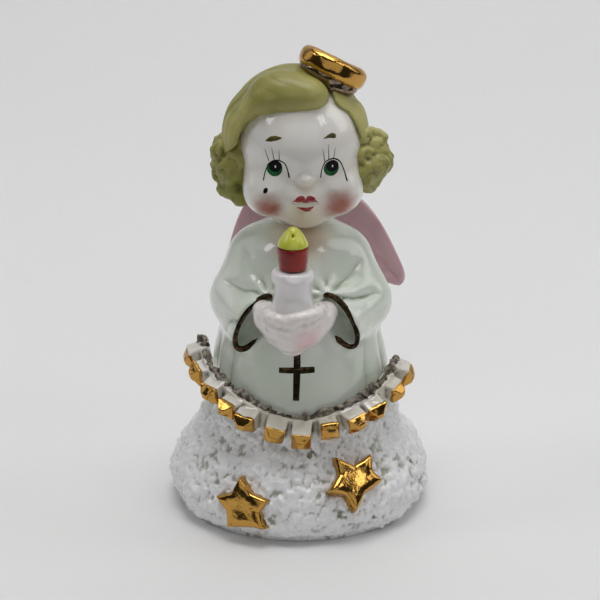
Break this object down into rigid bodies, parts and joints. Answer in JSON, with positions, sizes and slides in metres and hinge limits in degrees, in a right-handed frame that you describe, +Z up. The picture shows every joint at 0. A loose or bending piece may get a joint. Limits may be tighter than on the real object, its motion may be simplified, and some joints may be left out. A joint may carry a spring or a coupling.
{
  "type": "porcelain bell",
  "caption": "Small porcelain hand bell shaped as a praying angel child with a candle on a snowy mound, open below, with a hanging clapper.",
  "frame": {"origin": "centre of the foot ring, on the table", "axes": "+Z up, the figure faces -Y, +X to the right as seen from the front"},
  "size_m": [0.0544, 0.0549, 0.0937],
  "materials": {
    "snow_glaze": "rough white grit with pockets of grey-green glaze",
    "robe_glaze": "glossy pale celadon white, greener in the folds",
    "skin_glaze": "glossy white with overglaze face painting",
    "hand_lustre": "pink mother-of-pearl lustre",
    "candle_lustre": "white mother-of-pearl lustre",
    "hair_enamel": "brushed olive-yellow enamel",
    "wing_lustre": "glossy mauve-pink",
    "flame_red": "brick-red enamel",
    "flame_yellow": "yellow-green enamel",
    "trim_glaze": "glossy white with bright gilding on each pleat",
    "bright_gold": "porcelain under bright liquid gold",
    "cement": "matt grey cement",
    "steel_wire": "dull plated wire",
    "bead_glaze": "glossy white"
  },
  "bodies": {
    "bell": {"cloud_base": "snow_glaze", "robe_body": "robe_glaze", "sleeve_left": "robe_glaze", "sleeve_right": "robe_glaze", "hand_left": "hand_lustre", "hand_right": "hand_lustre", "candle": "candle_lustre", "flame_band": "flame_red", "flame_tip": "flame_yellow", "head": "skin_glaze", "hair_cap": "hair_enamel", "fringe_lock": "hair_enamel", "curls_left": "hair_enamel", "curls_right": "hair_enamel", "halo": "bright_gold", "wing_left": "wing_lustre", "wing_right": "wing_lustre", "hem_ribbon": "trim_glaze", "star_left": "bright_gold", "star_right": "bright_gold", "hanger_cement": "cement", "hanger_staple": "steel_wire"},
    "link": {"clapper_ring": "steel_wire"},
    "clapper": {"clapper_wire": "steel_wire", "clapper_bead": "bead_glaze"}
  },
  "joints": [
    {"name": "link_swing", "type": "hinge", "parent": "bell", "child": "link", "pos_m": [0, 0, 0.0412], "axis": [0, 1, 0], "range_deg": [-25, 25]},
    {"name": "clapper_swing", "type": "hinge", "parent": "link", "child": "clapper", "pos_m": [0, 0, 0.0372], "axis": [1, 0, 0], "range_deg": [-9, 9]}
  ]
}
